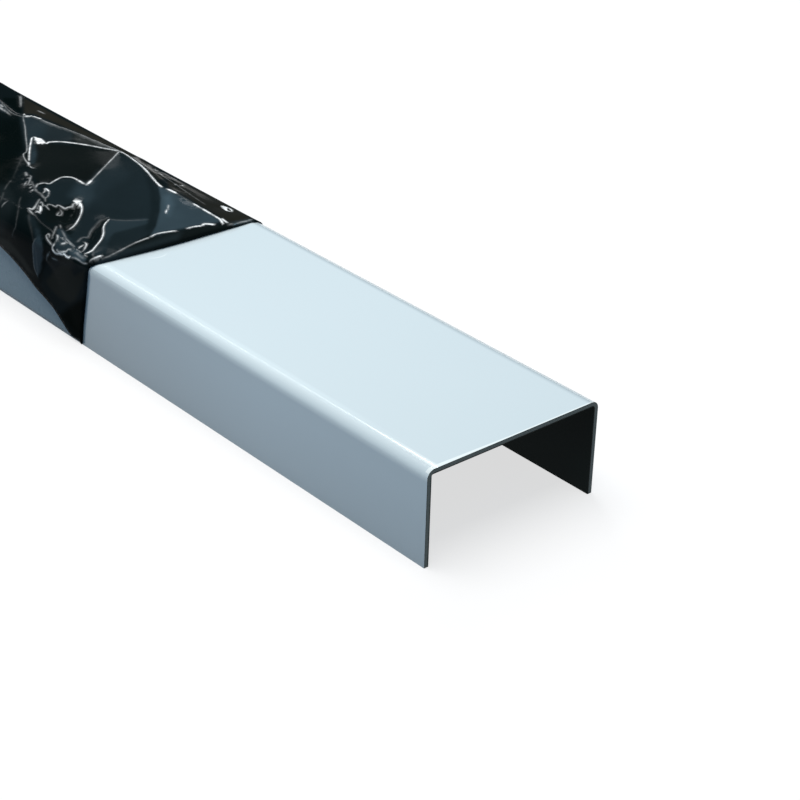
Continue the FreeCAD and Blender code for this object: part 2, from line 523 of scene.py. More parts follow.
# Front of the loop, by its place in the picture, from the near leg's edge to the far fold
foldLine = [
    (82, 342, 0.4), (83, 326, 0.4), (85, 303, 0.45), (86.3, 285, 0.5), (87.6, 271, 0.5), (89.5, 267, 0.5),
    (95, 264.5, 0.5), (120, 257.8, 0.6), (170, 244.5, 0.9), (210, 233.5, 0.7), (240, 225.3, 0.4),
    (252, 222, 0.25),
]
# unseen: (x, across, lift)
foldLineFar = [(346.6, 94, 0.2), (346.4, 103, 0.2), (339.5, 129.9, 0.35)]

# Free edge of the strip that covered the near leg, from the leg's edge backwards, by its place in
# the picture
nearEdge = [
    (79.5, 341, 0.7), (71, 335, 1.2), (62.5, 322.5, 1.4), (54, 309, 1.8), (45, 298, 2), (36, 288, 2.2),
    (27, 276, 2.4), (18, 265, 2.6), (9, 255, 2.7), (0, 246, 2.7),
]
# Edges past the picture's left edge and on the far side: (x, across, lift)
nearEdgeRear = [(280, 22.5, 3), (265, 29, 3.6), (247, 35.5, 4.4), (225, 42, 5), (203, 48.5, 4.2)]
backEdge = [
    (186, 53.5, 4.6), (186.6, 64, 6.2), (187.5, 76, 5), (188, 88, 3), (188.2, 98.5, 0.6), (187, 112, 1.6),
]
farEdge = [
    (187, 118.6, 2), (230, 119.4, 1.3), (275, 118.8, 2.2), (308, 119.8, 1.4), (326, 124.5, 1),
    (335, 128.5, 0.8),
]

# Creases that the picture shows: name: (brightness of the painted highlight along it, or that of its
# two ends, half its width in mm, [(picture x, picture y, lift off the metal in mm)])
creases = {
    "farRidgeRear": ((0.1, 0.12), 0.24, [(0.6, 101.3, 6.5), (3.8, 104.4, 6.3), (6.3, 107.5, 6.2),
        (10, 111.3, 6.1), (13.8, 113.8, 6), (17.5, 115.3, 6), (21.6, 116.6, 6)]),
    "cornerDash": (0.3, 0.26, [(0.2, 104.8, 5.9), (3.2, 107, 5.8)]),
    "cornerFlash": ((0.4, 0.07), 0.28, [(-2, 106.6, 5.3), (0, 107.8, 5.3), (2.8, 110, 5.3), (6.3, 112, 5.4),
        (9.4, 114.4, 5.4), (10.8, 115.9, 5.4)]),
    "farRidgeTick": ((0.75, 0.5), 0.22, [(24.6, 113.4, 5.8), (23.8, 115.2, 6)]),
    "farRidgeKnot": (1, 0.55, [(25.5, 116.2, 6.1), (29, 115.8, 6.3), (31.9, 115.4, 6.5)]),
    "farRidgeBright": ((1, 0.8), 0.42, [(33.2, 116, 6.5), (37.1, 117.2, 6.6), (41.3, 118.6, 6.8)]),
    "farRidgeMiddle": ((0.15, 0.1), 0.7, [(42.5, 119.6, 6.8), (49, 122.8, 6.9), (60, 126.8, 7),
        (74, 131.5, 7), (97, 141.5, 7), (119.5, 151.3, 7)]),
    "farRidgeFront": ((0.7, 1), 0.28, [(120.5, 151.6, 7), (127, 155, 6.4), (143, 167, 5.6), (157, 183, 4.6),
        (162, 187, 4.4)]),
    "farRidgeDash": (1, 0.38, [(168, 189, 4.3), (176, 193, 4)]),
    "farRidgeSoft": (0.06, 0.4, [(177.5, 194, 3.9), (192.5, 203, 3.4)]),
    "farRidgeStub": ((0.8, 1), 0.26, [(193.5, 203.6, 3.4), (196.5, 205.4, 3.3), (199.6, 207.2, 3.2)]),
    "farRidgeEnd": ((0.9, 1), 0.28, [(202.6, 208.8, 3.1), (210, 213.3, 2.8), (218.8, 218.4, 2.4),
        (220.4, 219.9, 2.2), (222.6, 222.9, 2)]),
    "farRidgeFork": (1, 0.3, [(222, 218.9, 2.2), (224.5, 220.6, 2.1), (227.3, 222.8, 1.9)]),
    "tipCrest": ((0.15, 0.25), 0.28, [(229, 223.6, 1.9), (236, 223.3, 1.5), (241.5, 221.9, 1.1),
        (246, 221.2, 0.8), (251, 219.7, 0.5)]),
    "foldCrestFar": (1, 0.34, [(213.8, 224.4, 2.1), (205, 224.1, 2.2), (202.4, 225.3, 2.3)]),
    "foldCrestSoft": (1, 0.24, [(201, 225.9, 2.3), (195, 226.5, 2.5), (188, 228, 2.7)]),
    "foldCrest": ((0.75, 0.6), 0.24, [(176, 230.5, 3), (158, 233.5, 3.1), (150, 237, 3)]),
    "foldCrestNear": ((0.4, 0.12), 0.22, [(149, 237.4, 3), (135, 243, 2.6), (120, 250.5, 2.2),
        (110, 255.5, 1.8), (103, 258.7, 1.4)]),
    "pinchBlade": ((0.9, 0.3), 0.22, [(102, 255.2, 2.2), (95, 257.4, 2.2), (92.8, 258.5, 2.1),
        (89.6, 260.8, 1.9)]),
    "webCrease": ((0.4, 0.35), 0.22, [(119.5, 151.3, 7), (104, 167.5, 5.2), (92, 180, 4.3)]),
    "webCreaseFoot": (1, 0.38, [(91.3, 180.8, 4.2), (87, 184.7, 4)]),
    "archEnd": (1, 0.36, [(84, 184, 4.1), (78.5, 180.5, 4.7)]),
    "arch": ((0.8, 0.3), 0.24, [(78, 180, 4.8), (72, 177.5, 5), (64.5, 177, 5), (59.6, 178.2, 4.9),
        (53.3, 181.6, 4.7), (49.4, 183.8, 4.5), (44.7, 183.2, 4.4), (40.5, 183.8, 4.3), (37.3, 185.1, 4.2),
        (35.4, 188.6, 4.2)]),
    "hook": ((1, 0.5), 0.22, [(74.2, 202, 4), (77.2, 200.8, 4.2), (80.2, 203, 4.2), (81.8, 207, 4.2),
        (81.4, 212, 4), (79.2, 218, 3.6), (74.8, 225, 3.1), (69.1, 229.8, 2.5)]),
    "hookFade": ((0.15, 0.03), 0.24, [(68.2, 230.2, 2.4), (65.4, 231.6, 2.4)]),
    "hookTip": (0.5, 0.26, [(78.2, 203.6, 4.1), (80.4, 206.4, 4)]),
    "wavyLine": ((0.18, 0.5), 0.22, [(46.9, 206.1, 4.4), (48.2, 204.5, 4.3), (51.7, 204.9, 4.2),
        (55.5, 206.5, 4), (58, 205.2, 3.9), (62, 206.9, 3.6), (65, 208.2, 3.5), (68, 207.3, 3.5),
        (72, 206, 3.5), (73.5, 203.5, 3.6)]),
    "blade": ((1, 0.75), 0.21, [(109, 219, 3.6), (105, 223.5, 3.8), (103.5, 227, 3.8), (103.5, 232, 3.7),
        (102.5, 236.5, 3.5), (100, 241, 3.2), (95, 247, 2.9), (92.5, 250.2, 2.6), (89, 252.4, 2.3),
        (84.9, 254, 2)]),
    "bladeFoot": (0.35, 0.22, [(84.9, 254.6, 1.9), (85.4, 256, 1.8), (86.8, 256.7, 1.8)]),
    "bladeRear": ((0.06, 0.11), 0.3, [(107, 217.8, 3.4), (100, 221, 2.7), (94.7, 226.6, 2.4),
        (90.9, 231.4, 2.3), (88, 236.8, 2.2), (83.3, 237.4, 2.2), (80.1, 239.3, 2.2), (77.2, 242.2, 2.2)]),
    "bladeTongue": ((0.65, 0.2), 0.26, [(85.5, 242.7, 1.9), (86.5, 244.3, 1.9), (85.5, 247.3, 1.8),
        (83.9, 250.5, 1.8), (82, 252.2, 1.7)]),
    "tongueRear": ((0.65, 0.3), 0.22, [(83.3, 245.4, 1.8), (80.1, 247.3, 1.8), (78.8, 249, 1.8)]),
    "softRidge": (0.03, 0.5, [(110, 219.6, 3.5), (125, 220.6, 3.3), (146, 220, 3.2)]),
    "peak": (1, 0.3, [(34.8, 137.6, 6), (37.1, 138.4, 6.3), (40.2, 138.9, 6.5), (42.9, 141.1, 6.5),
        (44.6, 142.8, 6.4)]),
    "peakFoot": (1, 0.42, [(36.9, 140.4, 6.4), (38.6, 143.6, 6.1)]),
    "peakBody": (1, 0.48, [(39.8, 140.6, 6.5), (42.6, 142.8, 6.4)]),
    "peakLine": ((1, 0.45), 0.26, [(44.8, 143, 6.4), (47, 143.3, 6.3), (50, 142.2, 6.2), (60, 141.9, 6.2),
        (72, 143, 6.3), (86, 145, 6.5), (100, 147.6, 6.8), (118.5, 150.9, 7)]),
    "rightRib": ((0.95, 0.65), 0.22, [(32, 137.4, 6.2), (30.8, 142.4, 6), (29.7, 149.1, 5.8),
        (29.2, 155.8, 5.4), (29, 160.5, 5.2)]),
    "leftRib": ((0.18, 0.3), 0.2, [(23.7, 115.6, 6), (23.2, 118, 5.9), (25, 126.8, 5.8), (25.7, 135.7, 5.5),
        (26.8, 144.6, 5.3), (27, 150, 5.3), (25.9, 152.7, 5.4), (23.7, 153.6, 5.6), (23.7, 156.7, 5.6),
        (25.9, 160.7, 5.3), (28.6, 164.7, 5)]),
    "ribKnot": ((0.45, 0.4), 0.26, [(27.7, 162.3, 5.1), (29, 163.2, 5.1), (28.6, 165.6, 4.9)]),
    "ribTail": (0.45, 0.22, [(30.3, 166.7, 4.8), (32, 168, 4.7), (34, 168.7, 4.5)]),
    "chainTop": ((0.13, 0.24), 0.4, [(25.5, 172, 5.2), (26.8, 175.5, 5.1)]),
    "chainHook": ((0.12, 0.32), 0.24, [(30, 175.5, 5), (31.1, 177.1, 5), (30, 180, 4.9), (28.7, 182.9, 5),
        (27.8, 184.5, 4.9)]),
    "chainDash": ((0.12, 0.38), 0.24, [(27.1, 181, 5), (24.6, 184.8, 4.8)]),
    "chainSpecks": (0.55, 0.26, [(29.6, 185, 4.9), (31, 184.5, 4.9)]),
    "chainSpeckLow": (0.45, 0.26, [(30, 188.2, 4.8), (31.2, 187, 4.8)]),
    "chainSpeckLast": (0.28, 0.26, [(32, 190.8, 4.8), (33.2, 189.8, 4.8)]),
    "chainMiddle": ((0.13, 0.15), 0.34, [(31.6, 181.6, 4.9), (34, 186.5, 4.8), (36.7, 191.6, 4.7),
        (40.6, 194, 4.6), (43, 196.9, 4.5), (44.7, 198.5, 4.5)]),
    "ringArm": ((0.4, 0.27), 0.22, [(44.8, 188.7, 4.6), (45, 191.3, 4.6), (43.2, 193.3, 4.6)]),
    "ringTop": (0.8, 0.26, [(45.4, 188.6, 4.6), (46.9, 189.2, 4.7), (48.8, 191.5, 4.7)]),
    "ringSide": ((0.27, 0.12), 0.22, [(48.9, 192.3, 4.7), (48.8, 194.3, 4.7), (47.5, 196.9, 4.6),
        (45.4, 198.3, 4.5), (45.3, 201.7, 4.4)]),
    "lobeUpper": ((0.14, 0.7), 0.26, [(39.6, 199.1, 4.7), (37.3, 203.3, 4.8), (34.8, 207.1, 4.9),
        (32.2, 209.2, 4.9), (29, 208.2, 4.9)]),
    "lobeLower": ((0.3, 0.22), 0.24, [(29, 209.6, 4.8), (30.6, 211.9, 4.6), (32.9, 213.8, 4.4)]),
    "lobeFringe": ((0.3, 1), 0.24, [(35.7, 212.8, 4.3), (37.3, 211.8, 4.3), (39.6, 212.9, 4.2)]),
    "lobeInner": ((0.18, 0.26), 0.22, [(38.6, 205.5, 4.6), (37.3, 209.3, 4.5)]),
    "lobeSpark": ((0.7, 0.9), 0.3, [(40.4, 206.2, 4.6), (40.7, 209.3, 4.5), (40, 211.6, 4.3)]),
    "lobeTop": (0.35, 0.22, [(40.1, 203.6, 4.6), (41.1, 201.9, 4.6), (42.4, 203.9, 4.5), (42.7, 206, 4.5)]),
    "dropLine": ((0.2, 0.3), 0.22, [(44, 205.4, 4.4), (46.2, 206.7, 4.3), (48.8, 209.6, 4)]),
    "ringSmall": (0.25, 0.24, [(60.5, 211, 2.6), (62, 212.5, 2.6), (61, 215, 2.5), (57, 215.7, 2.5),
        (59, 212.5, 2.6)]),
    "teardrop": (0.4, 0.22, [(49.5, 236.6, 3.4), (49.4, 235.2, 3.4), (47.9, 234, 3.3), (46.3, 235.5, 3.3),
        (46.9, 238.1, 3.4), (48.5, 240.9, 3.3), (50.1, 242.9, 3.2), (51.7, 244.6, 3.1)]),
    "chainLowTop": ((0.36, 0.32), 0.24, [(57.2, 234.8, 3.4), (57.7, 238, 3.3), (56.5, 240.6, 3.2)]),
    "chainLow": ((0.5, 1), 0.26, [(54.6, 243.9, 3.1), (52.5, 247.3, 3), (52.7, 249.9, 3),
        (54.6, 252.4, 2.9), (57.1, 253.7, 2.8), (59.7, 253.4, 2.7), (62.2, 254.5, 2.6)]),
    "chainLowBright": (1, 0.26, [(62.8, 254.4, 2.6), (64.5, 254.2, 2.5), (66, 255.9, 2.4),
        (68.6, 257.5, 2.3), (70.5, 256.6, 2.2)]),
    "chainInner": (0.55, 0.24, [(57.4, 250.5, 2.9), (59.3, 252.1, 2.9), (64.1, 251.8, 2.8),
        (66.7, 251.1, 2.7), (68.6, 249.6, 2.5), (70.5, 250, 2.5)]),
    "chainEnd": (0.26, 0.26, [(71.3, 257.6, 2.2), (75.9, 258.5, 1.9), (79.4, 260.4, 1.7),
        (83.3, 263.2, 1.4), (87, 263.6, 1.2)]),
    "clusterSpine": ((0.08, 0.2), 0.3, [(62.2, 230.7, 2.7), (63.8, 234.2, 2.7), (65.4, 237.8, 2.6),
        (67.3, 240.3, 2.6), (70.2, 242.9, 2.5), (73.7, 247, 2.3)]),
    "clusterFoot": ((0.16, 0.08), 0.4, [(76, 252.3, 2.2), (79, 255.4, 2), (84, 259.2, 1.7)]),
    "clusterLeft": ((0.18, 0.22), 0.26, [(56.5, 226.6, 3), (54.2, 232, 3.1), (52.7, 237.1, 3.1)]),
    "clusterDash": ((0.2, 0.15), 0.24, [(60.3, 225.4, 2.8), (60.9, 228, 2.8)]),
    "clusterSpark": (1, 0.42, [(62.4, 243.9, 2.8), (64.2, 243.6, 2.8)]),
    "clusterArc": ((0.22, 0.17), 0.22, [(64.6, 242.4, 2.7), (66.3, 242.3, 2.7), (67.6, 243.6, 2.6)]),
    "farEdgeGlint": ((0.3, 0.15), 0.24, [(38.8, 111.2, 0.7), (41.5, 112.4, 0.7), (44.2, 113.6, 0.7)]),
    "farWedge": ((0.16, 0.1), 0.4, [(20.3, 97, 0.7), (20.6, 101, 0.7), (20.4, 104.5, 0.7),
        (20.3, 107, 0.7)]),
    "farThread": ((0.12, 0.06), 0.24, [(161.5, 175.3, 2.9), (168, 179.5, 2.7), (174.1, 183.3, 2.4),
        (178.3, 186.4, 2.4), (183.3, 189.8, 2.4), (192.8, 196.4, 2.6), (205, 204.4, 2.5)]),
    "farSpeckA": (0.5, 0.24, [(155.5, 170.3, 0.5), (157.3, 171.6, 0.5)]),
    "farSpeckB": (0.45, 0.24, [(159.2, 173.2, 2), (161.8, 174.9, 2.5)]),
    "farSpeckC": (0.2, 0.24, [(169.5, 176.8, 0.9), (173, 178.4, 0.8), (176.4, 180.3, 0.7)]),
    "farSpeckD": (0.5, 0.24, [(174.8, 184.2, 2.4), (176.4, 185, 2.4)]),
    "farSpeckE": (0.35, 0.26, [(180.6, 185.6, 1.7), (182, 185.9, 1.5), (183.3, 185.3, 1)]),
    "coneSpark": (0.3, 0.24, [(168.6, 205, 3.3), (168, 208.5, 3.2)]),
    "coneSparkLow": (0.9, 0.22, [(166.5, 210.6, 3.2), (165.8, 213, 3.1)]),
    "leftLine": ((0.025, 0.035), 0.24, [(20.8, 197.3, 4.4), (19.2, 202.7, 4.4), (18.5, 208.8, 4.4),
        (17.3, 216.5, 4.2), (15.8, 225.8, 4), (14.4, 229.4, 3.9), (12.2, 236, 3.6)]),
    "leftStreak": (0.012, 0.3, [(21.5, 158, 5.4), (16.2, 170.4, 4.6), (13, 178, 4.4)]),
    "leftDashes": ((0.05, 0.03), 0.26, [(10.8, 181, 4.2), (8.5, 183.5, 4.1), (6.4, 186.5, 4),
        (4.6, 189.6, 3.9)]),
    "leftTail": (0.025, 0.3, [(3.6, 192.5, 3.9), (2, 198, 3.9), (0, 202.5, 3.9)]),
    "leftSpark": (0.2, 0.26, [(5.8, 202.3, 4), (4, 204, 3.9), (2.3, 206.2, 3.9)]),
    "farGlint": (1, 0.24, [(221.8, 206.6, 0.8), (224.4, 209, 0.9), (227.2, 210.9, 0.9),
        (230.6, 211.7, 0.8)]),
    "farGlintTop": (1, 0.22, [(224.6, 206.6, 0.7), (228.4, 207.9, 0.7), (231.2, 209.9, 0.7),
        (231.9, 211.2, 0.7)]),
    "facetTurn": (0, 0.3, [(148, 172, 5.2), (155, 181, 4.7), (158.5, 190, 4.2), (160.5, 198, 3.8),
        (160, 207, 3.4), (158.5, 216, 3.2), (155.5, 226, 3.1), (150.5, 235, 3)]),
    "curtainRidge": (0.02, 0.3, [(29.3, 214, 4.4), (34, 243, 3.3), (38, 276, 2.7)]),
    "curtainNick": ((0.2, 0.04), 0.26, [(49.1, 253.1, 2.7), (46.9, 256.9, 2.6), (46.6, 261, 2.6)]),
    "curtainTick": ((0.16, 0.07), 0.26, [(52.3, 258.2, 2.5), (57.8, 260.1, 2.3)]),
    "lensEdge": ((0.08, 0.1), 0.24, [(34.4, 240, 3.5), (32.9, 247, 3.3), (33.3, 257, 3.1), (34.5, 268, 2.9),
        (37.6, 276, 2.8)]),
}

# Dips between them, with no line of their own
dips = {
    "farValleyFront": [(240, 213.3, 0.35), (215, 200, 0.35), (190, 187, 0.35), (165, 173.6, 0.4),
        (145, 163.6, 0.5)],
    "bladeValley": [(105, 221.5, 2.2), (100, 227, 1.4), (96, 234, 1.1), (93, 240, 1), (88.5, 246, 1)],
    "hookValley": [(77, 205.5, 2.2), (76, 211, 1.5), (72, 218, 1.2), (67, 224, 1.2)],
    "rightPlane": [(182, 203, 2.9), (190, 214, 2.7), (170, 217, 3)],
    "curtainHollow": [(48, 262, 2), (55, 275, 1.7), (66, 300, 1.3), (74, 322, 0.9)],
}

# Creases past the picture's left edge and on the far side: (brightness of the painted highlight,
# half width, [(x, across, lift)])
unseenCreases = {
    "farRidgeBack": (0.12, 0.3, [(216.2, 77.5, 6.5), (204, 79.5, 5.4), (189, 79.5, 5.2)]),
    "oldFoldBack": (0.4, 0.4, [(217.5, 74.5, 5.2), (211, 71.5, 4.4), (204, 68, 5.2), (190, 64.5, 6)]),
    "oldFoldFork": (0.5, 0.35, [(211, 71.5, 4.4), (208, 63, 5.8), (197, 58.5, 4.8)]),
    "edgeBow": (0.3, 0.35, [(262, 40, 5.4), (246, 47, 4.2), (228, 52, 6), (206, 55, 4.4)]),
    "edgeRib": (0.35, 0.3, [(256, 33.5, 3.6), (250, 44, 5), (246, 52, 4.2), (241, 61, 5.4)]),
    "farWrap": (0, 0.4, [(344, 98.5, 0.3), (320, 98.5, 0.32), (270, 98.5, 0.35), (189.5, 98.5, 0.5)]),
    "farDrop": (0.2, 0.4, [(300, 103.5, 0.6), (292, 111, 1.9), (288, 118, 2)]),
    "farDropRear": (0.2, 0.4, [(236, 103.5, 0.6), (241, 110.5, 1.8), (240, 118.5, 1.2)]),
}
unseenDips = {
    "farValleyRear": [(278, 91, 0.5), (266, 89.5, 0.6), (252, 87.2, 0.6), (240, 86, 0.6), (226, 83, 0.6),
        (212, 84, 0.7), (190, 86.5, 1.4)],
    "backHollow": [(222, 62, 2.8), (209, 62.5, 3.2)],
    "backHollowFar": [(214, 75.5, 3.6), (200, 74.5, 3.6)],
    "sideHollow": [(268, 36, 2.8), (252, 38, 3)],
}

# Crumpled places: (picture x, picture y, radius, strength)
crumples = [
    (29, 181, 7, 0.35), (36, 192, 7, 0.45), (38, 206, 8, 0.45), (46, 194, 5, 0.3), (62, 243, 9, 0.4),
    (72, 252, 10, 0.6), (83, 258, 7, 0.6),
]

# Painted highlights that a crease's line alone doesn't fill: (brightness, softness of the outline in
# picture pixels, [(picture x, picture y)])
flashes = {
    "peakFlash": (1, 0.7, [(34.4, 137.4), (37, 138.6), (40.2, 138.9), (42.6, 141), (45, 142.9), (41, 143.4),
        (38, 144.6), (37.4, 141.6)]),
    "hookFlash": (1, 0.6, [(74, 202), (75.2, 200.2), (77.4, 199.6), (79.6, 200.8), (81.2, 203.6),
        (81.8, 206.6), (80.6, 206.4), (78.6, 204), (76.8, 204.4), (75.4, 203)]),
    "glintFlash": (1, 0.5, [(220.6, 206), (224.5, 206.6), (227.4, 207.6), (226.6, 209), (227.4, 210.6),
        (225, 209.8), (223, 208.4)]),
    "wedgeFlash": (0.16, 1, [(18.8, 96), (22, 96), (22.2, 103), (20.6, 107.6)]),
}

# Painted reflections on the adhesive side, laid over each other in this order: (blue-grey
# reflection, brown reflection, softness of the outline in picture pixels, [(picture x, picture y)]).
# It is black where both are 0.
# painted blue-grey reflection before any tone is laid over it
plainBlueReflection = 0.05
tones = {
    "leftCorner": (0, 0, 14, [(-8, 114), (22, 118), (25, 150), (18, 165), (6, 184), (-8, 190)]),
    "leftSide": (0.1, 0.1, 10, [(-8, 186), (8, 186), (14, 200), (10, 215), (5, 234), (-8, 234)]),
    "leftBrown": (0.08, 0.85, 4, [(-4, 236), (8, 240), (16, 249), (24, 259), (33, 274), (28, 272),
        (16, 256), (-4, 243)]),
    "cornerSheen": (0.3, 0, 3, [(-8, 97), (0, 101), (5, 106), (9, 112), (6, 113), (-8, 108)]),
    "cornerDark": (0, 0, 2, [(2, 98), (18, 98), (20, 108), (22, 114), (14, 112), (6, 105)]),
    "farBand": (0, 0.58, 2, [(24, 98), (60, 118), (120, 148), (108, 146), (60, 125), (33, 114), (24, 114)]),
    "farBandMiddle": (0, 0.5, 3, [(110, 140), (150, 165), (168, 178), (158, 180), (140, 163), (119, 150)]),
    "farBandFront": (0, 0.48, 2, [(168, 176), (215, 198), (252, 219), (232, 224), (224, 219), (196, 203),
        (168, 187)]),
    "farSpotA": (0, 0.05, 1.5, [(151, 168), (157, 171), (162, 174.5), (158, 174), (152, 170.5)]),
    "farSpotB": (0, 0.05, 1.5, [(166, 177), (171, 179), (177, 182.5), (173, 182.5), (167, 179.5)]),
    "farSpotC": (0, 0.05, 1.5, [(173.5, 183.5), (178, 185), (181, 188), (177, 187.5)]),
    "farSpotD": (0, 0.05, 1.5, [(186, 187.5), (190, 189), (192.5, 192), (188, 190.5)]),
    "upperFacet": (0.2, 0.1, 5, [(22, 116), (33, 116), (60, 127), (74, 132), (70, 144), (45, 143),
        (34, 140), (28, 152)]),
    "upperLeft": (0.28, 0, 10, [(22, 117), (34, 117), (48, 124), (44, 136), (34, 138), (27, 146)]),
    "upperFacetEnd": (0.12, 0.5, 5, [(74, 132), (97, 141), (120, 151.5), (98, 147), (76, 143.5)]),
    "middleFacet": (0.035, 0.1, 3, [(34, 146), (46, 143), (119, 151.5), (104, 167), (86, 184), (78, 180),
        (64, 177), (52, 182), (36, 181), (29, 168)]),
    "ribSheen": (0.45, 0, 5, [(31.5, 142), (35, 146), (36.5, 154), (34, 163), (30, 164)]),
    "archInside": (0.17, 0, 2, [(46, 185), (52, 182), (60, 178.5), (72, 178), (84, 184.5), (86, 194),
        (80, 200), (64, 206), (50, 204), (45, 196)]),
    "mainFacet": (0.19, 0, 3, [(119, 152), (140, 162), (155, 180), (159, 198), (157, 216), (151, 233),
        (138, 241), (106, 256), (86, 255), (68, 240), (82, 216), (86, 186)]),
    "mainFoot": (0.42, 0, 9, [(87, 186), (97, 174), (104, 180), (98, 194), (88, 200)]),
    "mainGlow": (0.26, 0, 12, [(100, 172), (118, 166), (130, 172), (126, 180), (108, 190), (96, 200),
        (92, 190)]),
    "archSheen": (0.44, 0, 14, [(78, 184), (88, 186), (92, 196), (86, 206), (78, 200), (70, 196)]),
    "mainShade": (0.13, 0, 5, [(140, 164), (152, 178), (157.5, 196), (156, 214), (150, 232), (145, 230),
        (151, 212), (150, 190)]),
    "bladeSheen": (0.38, 0, 3, [(109, 220), (126, 220.5), (148, 218.5), (147, 224), (130, 229), (114, 233),
        (106, 244), (103.5, 238), (104.5, 228)]),
    "bladeFoot": (0.3, 0, 4, [(102, 242), (108, 240), (107, 249), (98, 256), (90, 254)]),
    "bladeDark": (0.06, 0, 2, [(107.5, 219), (103.5, 225), (102.5, 234), (99.5, 240.5), (92, 249),
        (86, 253), (87, 244), (89, 236), (94, 227), (101, 221.5)]),
    "rightFacet": (0.64, 0, 4, [(158, 186), (168, 189.5), (193, 203.6), (222, 221), (214, 223.6),
        (202, 225), (176, 230), (150, 236.6), (156, 226), (159.5, 212), (160.5, 198)]),
    "cone": (1, 0, 9, [(164, 197), (170, 195), (174, 205), (169, 215), (164, 211)]),
    "foldBand": (0.05, 0.1, 2, [(252, 219), (246, 221.5), (228, 224.6), (202, 227), (176, 232),
        (150, 238.6), (120, 252), (98, 261), (96, 268), (120, 260), (170, 247), (210, 236), (252, 224)]),
    "foldBandMiddle": (0.2, 0.1, 6, [(118, 253), (168, 235.5), (182, 232), (178, 240), (122, 258)]),
    "foldBandNear": (0.24, 0.05, 4, [(96, 261), (128, 248), (132, 254), (97, 267)]),
    "foldTip": (0.35, 0.5, 3, [(232, 222.5), (252, 218.5), (252, 222.5), (234, 226)]),
    "curtainStreak": (0.18, 0, 5, [(27, 216), (34, 216), (39, 230), (41, 238), (36, 240), (33, 230)]),
    "curtainStreakFoot": (0.32, 0, 4, [(35, 229), (39, 229), (41, 238), (35, 240)]),
    "lens": (0.66, 0, 2, [(34.6, 239), (40, 236), (43, 246), (42.4, 258), (41, 267), (38, 276), (34.6, 267),
        (33.4, 256), (32.6, 247)]),
    "hookInside": (0.03, 0.05, 3, [(50, 206), (62, 208), (74, 205), (81, 207), (80, 216), (68, 229),
        (56, 224), (46, 222), (44, 210)]),
    "curtain": (0.12, 0, 3, [(46, 262), (52, 259), (66, 262), (88, 268), (84, 340), (60, 318), (40, 284)]),
    "curtainBrown": (0.06, 0.65, 4, [(46, 281), (55, 270), (60, 265), (70, 266), (74, 276), (82, 272),
        (86, 270), (82, 284), (75, 300), (69, 303), (60, 298), (51, 289)]),
    "curtainFoot": (0, 0, 8, [(86, 296), (84, 344), (58, 316), (70, 306)]),
    "cluster": (0.4, 0, 2, [(57, 229), (63, 229), (70, 241), (78, 249), (87, 259), (84, 264), (70, 256),
        (60, 252), (54, 250), (56, 240)]),
    "clusterSheen": (0.75, 0, 3, [(68, 249), (76, 250), (86, 259), (83, 262), (74, 258)]),
}


def throughPoints(points, step):
    # a smooth line through the points, with about one point each step
    p = np.array(points, float)
    p = np.vstack([2 * p[0] - p[1], p, 2 * p[-1] - p[-2]])
    line = []
    for a, b, c, d in zip(p, p[1:], p[2:], p[3:]):
        count = max(1, int(round(np.linalg.norm((c - b)[:2]) / step)))
        square, cube = 2 * a - 5 * b + 4 * c - d, 3 * b - a - 3 * c + d
        for k in range(count):
            s = k / count
            line.append(0.5 * (2 * b + (c - a) * s + square * s**2 + cube * s**3))
    line.append(p[-2])
    return np.array(line)


def foldStations():
    front = fromPicture(foldLine)
    front[0] = (front[0][0], filmSettings["trim"], front[0][2])
    front = throughPoints(front + foldLineFar, filmSettings["noseStep"])
    order = np.argsort(front[:, 1])
    count = int(round((acrossAll - 2 * filmSettings["trim"]) / filmSettings["acrossStep"]))
    across = np.linspace(filmSettings["trim"], acrossAll - filmSettings["trim"], count + 1)
    nose = np.interp(across, front[order, 1], front[order, 0])
    radius = np.interp(across, *zip(*loopRadius))
    return across, nose, radius


def stuckSheet(across, nose, radius):
    settings = filmSettings
    columns = int((frontEnd - rearEnd) / settings["stuckStep"])
    rows = []
    for k in range(columns + 1):
        x = rearEnd + (nose - radius - rearEnd) * k / columns
        rows.append((x, across, 0 * across + settings["stuckLift"]))
    for k in range(1, settings["loopSteps"] + 1):
        turn = math.radians(-90 + (90 + settings["loopTurn"]) * k / settings["loopSteps"])
        x = nose - radius * (1 - math.cos(turn))
        rows.append((x, across, settings["stuckLift"] + radius * (1 + math.sin(turn))))
    places = np.array([np.stack(row, axis=1) for row in rows])
    wide = len(across)
    faces = []
    for i in range(len(rows) - 1):
        for j in range(wide - 1):
            a = i * wide + j
            faces.append((a, a + wide, a + wide + 1, a + 1))
    return places, faces


def nearness(points, spots):
    # how strongly the soft round spots (x, y, radius, strength) cover each picture point
    total = np.zeros(len(points))
    for x, y, radius, strength in spots:
        gap = np.hypot(points[:, 0] - x, points[:, 1] - y) / radius
        total = np.maximum(total, strength * np.exp(-gap**2))
    return total


def covered(points, outline, soft):
    # 1 inside the outline and 0 outside it, with an edge that wide
    x, y = points.T
    inside = np.zeros(len(points), bool)
    gap = np.full(len(points), np.inf)
    for (ax, ay), (bx, by) in zip(outline, outline[1:] + outline[:1]):
        crossed = (ay > y) != (by > y)
        inside ^= crossed & (x < ax + (y - ay) * (bx - ax) / (by - ay if by != ay else 1))
        along = ((x - ax) * (bx - ax) + (y - ay) * (by - ay)) / ((bx - ax) ** 2 + (by - ay) ** 2)
        along = np.clip(along, 0, 1)
        gap = np.minimum(gap, np.hypot(x - ax - along * (bx - ax), y - ay - along * (by - ay)))
    share = np.clip(0.5 + np.where(inside, gap, -gap) / soft, 0, 1)
    return share * share * (3 - 2 * share)


